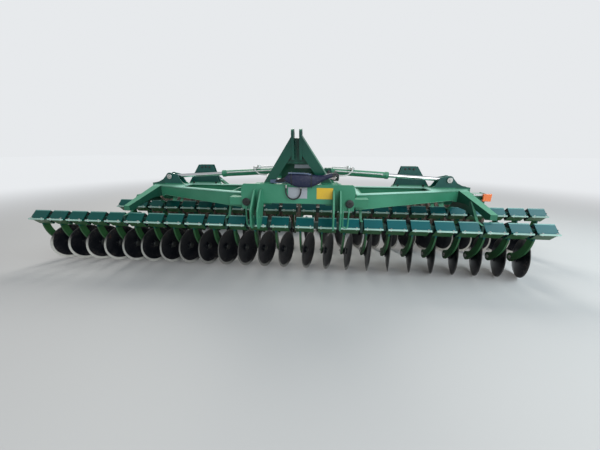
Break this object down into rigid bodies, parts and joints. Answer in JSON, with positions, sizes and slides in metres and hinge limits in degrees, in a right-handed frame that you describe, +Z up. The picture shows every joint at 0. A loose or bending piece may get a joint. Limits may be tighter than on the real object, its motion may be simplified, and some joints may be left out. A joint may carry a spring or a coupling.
{
  "type": "mounted folding disc harrow",
  "caption": "Mounted disc harrow with two rows of rubber-sprung concave discs on two wings that fold up about a centre frame, three-point hitch and rear ring roller.",
  "frame": {"origin": "middle of the machine's outline on the ground", "axes": "+X across the machine, +Y to the rear (travel is towards -Y), +Z up"},
  "size_m": [6.526, 2.56, 1.636],
  "materials": {
    "frame_paint": "satin",
    "arm_paint": "satin",
    "rod_chrome": "polished",
    "disc_steel": "worn",
    "roller_rubber": "soiled",
    "hose_rubber": "matt"
  },
  "bodies": {
    "centre": {"centre_frame": "frame_paint", "hydraulic_hose": "hose_rubber"},
    "wing_left": {"wing_frame_left": "frame_paint", "disc_mounts_left": "arm_paint"},
    "fold_barrel_left": {"fold_barrel_left": "frame_paint"},
    "fold_rod_left": {"fold_rod_left": "rod_chrome"},
    "roller_left": {"roller_left": "roller_rubber"},
    "wing_right": {"wing_frame_right": "frame_paint", "disc_mounts_right": "arm_paint"},
    "fold_barrel_right": {"fold_barrel_right": "frame_paint"},
    "fold_rod_right": {"fold_rod_right": "rod_chrome"},
    "roller_right": {"roller_right": "roller_rubber"},
    "disc_front_01": {"disc_front_01": "disc_steel"},
    "disc_front_02": {"disc_front_02": "disc_steel"},
    "disc_front_03": {"disc_front_03": "disc_steel"},
    "disc_front_04": {"disc_front_04": "disc_steel"},
    "disc_front_05": {"disc_front_05": "disc_steel"},
    "disc_front_06": {"disc_front_06": "disc_steel"},
    "disc_front_07": {"disc_front_07": "disc_steel"},
    "disc_front_08": {"disc_front_08": "disc_steel"},
    "disc_front_09": {"disc_front_09": "disc_steel"},
    "disc_front_10": {"disc_front_10": "disc_steel"},
    "disc_front_11": {"disc_front_11": "disc_steel"},
    "disc_front_12": {"disc_front_12": "disc_steel"},
    "disc_front_13": {"disc_front_13": "disc_steel"},
    "disc_front_14": {"disc_front_14": "disc_steel"},
    "disc_front_15": {"disc_front_15": "disc_steel"},
    "disc_front_16": {"disc_front_16": "disc_steel"},
    "disc_front_17": {"disc_front_17": "disc_steel"},
    "disc_front_18": {"disc_front_18": "disc_steel"},
    "disc_front_19": {"disc_front_19": "disc_steel"},
    "disc_front_20": {"disc_front_20": "disc_steel"},
    "disc_front_21": {"disc_front_21": "disc_steel"},
    "disc_front_22": {"disc_front_22": "disc_steel"},
    "disc_front_23": {"disc_front_23": "disc_steel"},
    "disc_front_24": {"disc_front_24": "disc_steel"},
    "disc_rear_01": {"disc_rear_01": "disc_steel"},
    "disc_rear_02": {"disc_rear_02": "disc_steel"},
    "disc_rear_03": {"disc_rear_03": "disc_steel"},
    "disc_rear_04": {"disc_rear_04": "disc_steel"},
    "disc_rear_05": {"disc_rear_05": "disc_steel"},
    "disc_rear_06": {"disc_rear_06": "disc_steel"},
    "disc_rear_07": {"disc_rear_07": "disc_steel"},
    "disc_rear_08": {"disc_rear_08": "disc_steel"},
    "disc_rear_09": {"disc_rear_09": "disc_steel"},
    "disc_rear_10": {"disc_rear_10": "disc_steel"},
    "disc_rear_11": {"disc_rear_11": "disc_steel"},
    "disc_rear_12": {"disc_rear_12": "disc_steel"},
    "disc_rear_13": {"disc_rear_13": "disc_steel"},
    "disc_rear_14": {"disc_rear_14": "disc_steel"},
    "disc_rear_15": {"disc_rear_15": "disc_steel"},
    "disc_rear_16": {"disc_rear_16": "disc_steel"},
    "disc_rear_17": {"disc_rear_17": "disc_steel"},
    "disc_rear_18": {"disc_rear_18": "disc_steel"},
    "disc_rear_19": {"disc_rear_19": "disc_steel"},
    "disc_rear_20": {"disc_rear_20": "disc_steel"},
    "disc_rear_21": {"disc_rear_21": "disc_steel"},
    "disc_rear_22": {"disc_rear_22": "disc_steel"},
    "disc_rear_23": {"disc_rear_23": "disc_steel"},
    "disc_rear_24": {"disc_rear_24": "disc_steel"}
  },
  "joints": [
    {"name": "fold_wing_left", "type": "hinge", "parent": "centre", "child": "wing_left", "pos_m": [-0.48, -0.715, 0.91], "axis": [0, 1, 0], "range_deg": [0, 90]},
    {"name": "fold_barrel_left", "type": "hinge", "parent": "centre", "child": "fold_barrel_left", "pos_m": [-0.255, -0.315, 1.18], "axis": [0, 1, 0], "range_deg": [-1, 93]},
    {"name": "fold_rod_left", "type": "slide", "parent": "fold_barrel_left", "child": "fold_rod_left", "axis": [-0.9982, 0, -0.0599], "range_m": [-0.501, 0]},
    {"name": "spin_roller_left", "type": "hinge", "parent": "wing_left", "child": "roller_left", "pos_m": [-1.49, 0.885, 0.29], "axis": [1, 0, 0], "continuous": true},
    {"name": "fold_wing_right", "type": "hinge", "parent": "centre", "child": "wing_right", "pos_m": [0.61, -0.715, 0.91], "axis": [0, -1, 0], "range_deg": [0, 90]},
    {"name": "fold_barrel_right", "type": "hinge", "parent": "centre", "child": "fold_barrel_right", "pos_m": [0.385, -0.315, 1.18], "axis": [0, -1, 0], "range_deg": [-1, 93]},
    {"name": "fold_rod_right", "type": "slide", "parent": "fold_barrel_right", "child": "fold_rod_right", "axis": [0.9982, 0, -0.0599], "range_m": [-0.501, 0]},
    {"name": "spin_roller_right", "type": "hinge", "parent": "wing_right", "child": "roller_right", "pos_m": [1.62, 0.885, 0.29], "axis": [1, 0, 0], "continuous": true},
    {"name": "turn_front_01", "type": "hinge", "parent": "wing_left", "child": "disc_front_01", "pos_m": [-3.1085, -0.705, 0.23], "axis": [0.9563, -0.2924, 0], "continuous": true},
    {"name": "turn_front_02", "type": "hinge", "parent": "wing_left", "child": "disc_front_02", "pos_m": [-2.8585, -0.705, 0.23], "axis": [0.9563, -0.2924, 0], "continuous": true},
    {"name": "turn_front_03", "type": "hinge", "parent": "wing_left", "child": "disc_front_03", "pos_m": [-2.6085, -0.705, 0.23], "axis": [0.9563, -0.2924, 0], "continuous": true},
    {"name": "turn_front_04", "type": "hinge", "parent": "wing_left", "child": "disc_front_04", "pos_m": [-2.3585, -0.705, 0.23], "axis": [0.9563, -0.2924, 0], "continuous": true},
    {"name": "turn_front_05", "type": "hinge", "parent": "wing_left", "child": "disc_front_05", "pos_m": [-2.1085, -0.705, 0.23], "axis": [0.9563, -0.2924, 0], "continuous": true},
    {"name": "turn_front_06", "type": "hinge", "parent": "wing_left", "child": "disc_front_06", "pos_m": [-1.8585, -0.705, 0.23], "axis": [0.9563, -0.2924, 0], "continuous": true},
    {"name": "turn_front_07", "type": "hinge", "parent": "wing_left", "child": "disc_front_07", "pos_m": [-1.6085, -0.705, 0.23], "axis": [0.9563, -0.2924, 0], "continuous": true},
    {"name": "turn_front_08", "type": "hinge", "parent": "wing_left", "child": "disc_front_08", "pos_m": [-1.3585, -0.705, 0.23], "axis": [0.9563, -0.2924, 0], "continuous": true},
    {"name": "turn_front_09", "type": "hinge", "parent": "wing_left", "child": "disc_front_09", "pos_m": [-1.1085, -0.705, 0.23], "axis": [0.9563, -0.2924, 0], "continuous": true},
    {"name": "turn_front_10", "type": "hinge", "parent": "wing_left", "child": "disc_front_10", "pos_m": [-0.8585, -0.705, 0.23], "axis": [0.9563, -0.2924, 0], "continuous": true},
    {"name": "turn_front_11", "type": "hinge", "parent": "wing_left", "child": "disc_front_11", "pos_m": [-0.6085, -0.705, 0.23], "axis": [0.9563, -0.2924, 0], "continuous": true},
    {"name": "turn_front_12", "type": "hinge", "parent": "wing_left", "child": "disc_front_12", "pos_m": [-0.3585, -0.705, 0.23], "axis": [0.9563, -0.2924, 0], "continuous": true},
    {"name": "turn_front_13", "type": "hinge", "parent": "wing_left", "child": "disc_front_13", "pos_m": [-0.1085, -0.705, 0.23], "axis": [0.9563, -0.2924, 0], "continuous": true},
    {"name": "turn_front_14", "type": "hinge", "parent": "wing_right", "child": "disc_front_14", "pos_m": [0.1735, -0.705, 0.23], "axis": [0.9563, -0.2924, 0], "continuous": true},
    {"name": "turn_front_15", "type": "hinge", "parent": "wing_right", "child": "disc_front_15", "pos_m": [0.4235, -0.705, 0.23], "axis": [0.9563, -0.2924, 0], "continuous": true},
    {"name": "turn_front_16", "type": "hinge", "parent": "wing_right", "child": "disc_front_16", "pos_m": [0.6735, -0.705, 0.23], "axis": [0.9563, -0.2924, 0], "continuous": true},
    {"name": "turn_front_17", "type": "hinge", "parent": "wing_right", "child": "disc_front_17", "pos_m": [0.9235, -0.705, 0.23], "axis": [0.9563, -0.2924, 0], "continuous": true},
    {"name": "turn_front_18", "type": "hinge", "parent": "wing_right", "child": "disc_front_18", "pos_m": [1.1735, -0.705, 0.23], "axis": [0.9563, -0.2924, 0], "continuous": true},
    {"name": "turn_front_19", "type": "hinge", "parent": "wing_right", "child": "disc_front_19", "pos_m": [1.4235, -0.705, 0.23], "axis": [0.9563, -0.2924, 0], "continuous": true},
    {"name": "turn_front_20", "type": "hinge", "parent": "wing_right", "child": "disc_front_20", "pos_m": [1.6735, -0.705, 0.23], "axis": [0.9563, -0.2924, 0], "continuous": true},
    {"name": "turn_front_21", "type": "hinge", "parent": "wing_right", "child": "disc_front_21", "pos_m": [1.9235, -0.705, 0.23], "axis": [0.9563, -0.2924, 0], "continuous": true},
    {"name": "turn_front_22", "type": "hinge", "parent": "wing_right", "child": "disc_front_22", "pos_m": [2.1735, -0.705, 0.23], "axis": [0.9563, -0.2924, 0], "continuous": true},
    {"name": "turn_front_23", "type": "hinge", "parent": "wing_right", "child": "disc_front_23", "pos_m": [2.4235, -0.705, 0.23], "axis": [0.9563, -0.2924, 0], "continuous": true},
    {"name": "turn_front_24", "type": "hinge", "parent": "wing_right", "child": "disc_front_24", "pos_m": [2.6735, -0.705, 0.23], "axis": [0.9563, -0.2924, 0], "continuous": true},
    {"name": "turn_rear_01", "type": "hinge", "parent": "wing_left", "child": "disc_rear_01", "pos_m": [-2.6735, 0.065, 0.23], "axis": [0.9563, 0.2924, 0], "continuous": true},
    {"name": "turn_rear_02", "type": "hinge", "parent": "wing_left", "child": "disc_rear_02", "pos_m": [-2.4235, 0.065, 0.23], "axis": [0.9563, 0.2924, 0], "continuous": true},
    {"name": "turn_rear_03", "type": "hinge", "parent": "wing_left", "child": "disc_rear_03", "pos_m": [-2.1735, 0.065, 0.23], "axis": [0.9563, 0.2924, 0], "continuous": true},
    {"name": "turn_rear_04", "type": "hinge", "parent": "wing_left", "child": "disc_rear_04", "pos_m": [-1.9235, 0.065, 0.23], "axis": [0.9563, 0.2924, 0], "continuous": true},
    {"name": "turn_rear_05", "type": "hinge", "parent": "wing_left", "child": "disc_rear_05", "pos_m": [-1.6735, 0.065, 0.23], "axis": [0.9563, 0.2924, 0], "continuous": true},
    {"name": "turn_rear_06", "type": "hinge", "parent": "wing_left", "child": "disc_rear_06", "pos_m": [-1.4235, 0.065, 0.23], "axis": [0.9563, 0.2924, 0], "continuous": true},
    {"name": "turn_rear_07", "type": "hinge", "parent": "wing_left", "child": "disc_rear_07", "pos_m": [-1.1735, 0.065, 0.23], "axis": [0.9563, 0.2924, 0], "continuous": true},
    {"name": "turn_rear_08", "type": "hinge", "parent": "wing_left", "child": "disc_rear_08", "pos_m": [-0.9235, 0.065, 0.23], "axis": [0.9563, 0.2924, 0], "continuous": true},
    {"name": "turn_rear_09", "type": "hinge", "parent": "wing_left", "child": "disc_rear_09", "pos_m": [-0.6735, 0.065, 0.23], "axis": [0.9563, 0.2924, 0], "continuous": true},
    {"name": "turn_rear_10", "type": "hinge", "parent": "wing_left", "child": "disc_rear_10", "pos_m": [-0.4235, 0.065, 0.23], "axis": [0.9563, 0.2924, 0], "continuous": true},
    {"name": "turn_rear_11", "type": "hinge", "parent": "wing_left", "child": "disc_rear_11", "pos_m": [-0.1735, 0.065, 0.23], "axis": [0.9563, 0.2924, 0], "continuous": true},
    {"name": "turn_rear_12", "type": "hinge", "parent": "wing_right", "child": "disc_rear_12", "pos_m": [0.1085, 0.065, 0.23], "axis": [0.9563, 0.2924, 0], "continuous": true},
    {"name": "turn_rear_13", "type": "hinge", "parent": "wing_right", "child": "disc_rear_13", "pos_m": [0.3585, 0.065, 0.23], "axis": [0.9563, 0.2924, 0], "continuous": true},
    {"name": "turn_rear_14", "type": "hinge", "parent": "wing_right", "child": "disc_rear_14", "pos_m": [0.6085, 0.065, 0.23], "axis": [0.9563, 0.2924, 0], "continuous": true},
    {"name": "turn_rear_15", "type": "hinge", "parent": "wing_right", "child": "disc_rear_15", "pos_m": [0.8585, 0.065, 0.23], "axis": [0.9563, 0.2924, 0], "continuous": true},
    {"name": "turn_rear_16", "type": "hinge", "parent": "wing_right", "child": "disc_rear_16", "pos_m": [1.1085, 0.065, 0.23], "axis": [0.9563, 0.2924, 0], "continuous": true},
    {"name": "turn_rear_17", "type": "hinge", "parent": "wing_right", "child": "disc_rear_17", "pos_m": [1.3585, 0.065, 0.23], "axis": [0.9563, 0.2924, 0], "continuous": true},
    {"name": "turn_rear_18", "type": "hinge", "parent": "wing_right", "child": "disc_rear_18", "pos_m": [1.6085, 0.065, 0.23], "axis": [0.9563, 0.2924, 0], "continuous": true},
    {"name": "turn_rear_19", "type": "hinge", "parent": "wing_right", "child": "disc_rear_19", "pos_m": [1.8585, 0.065, 0.23], "axis": [0.9563, 0.2924, 0], "continuous": true},
    {"name": "turn_rear_20", "type": "hinge", "parent": "wing_right", "child": "disc_rear_20", "pos_m": [2.1085, 0.065, 0.23], "axis": [0.9563, 0.2924, 0], "continuous": true},
    {"name": "turn_rear_21", "type": "hinge", "parent": "wing_right", "child": "disc_rear_21", "pos_m": [2.3585, 0.065, 0.23], "axis": [0.9563, 0.2924, 0], "continuous": true},
    {"name": "turn_rear_22", "type": "hinge", "parent": "wing_right", "child": "disc_rear_22", "pos_m": [2.6085, 0.065, 0.23], "axis": [0.9563, 0.2924, 0], "continuous": true},
    {"name": "turn_rear_23", "type": "hinge", "parent": "wing_right", "child": "disc_rear_23", "pos_m": [2.8585, 0.065, 0.23], "axis": [0.9563, 0.2924, 0], "continuous": true},
    {"name": "turn_rear_24", "type": "hinge", "parent": "wing_right", "child": "disc_rear_24", "pos_m": [3.1085, 0.065, 0.23], "axis": [0.9563, 0.2924, 0], "continuous": true}
  ],
  "couplings": [
    {"joint": "fold_barrel_left", "follows": "fold_wing_left", "ratio": 1.0097},
    {"joint": "fold_rod_left", "follows": "fold_wing_left", "m_per_rad": -0.3162},
    {"joint": "fold_barrel_right", "follows": "fold_wing_right", "ratio": 1.0097},
    {"joint": "fold_rod_right", "follows": "fold_wing_right", "m_per_rad": -0.3162}
  ]
}
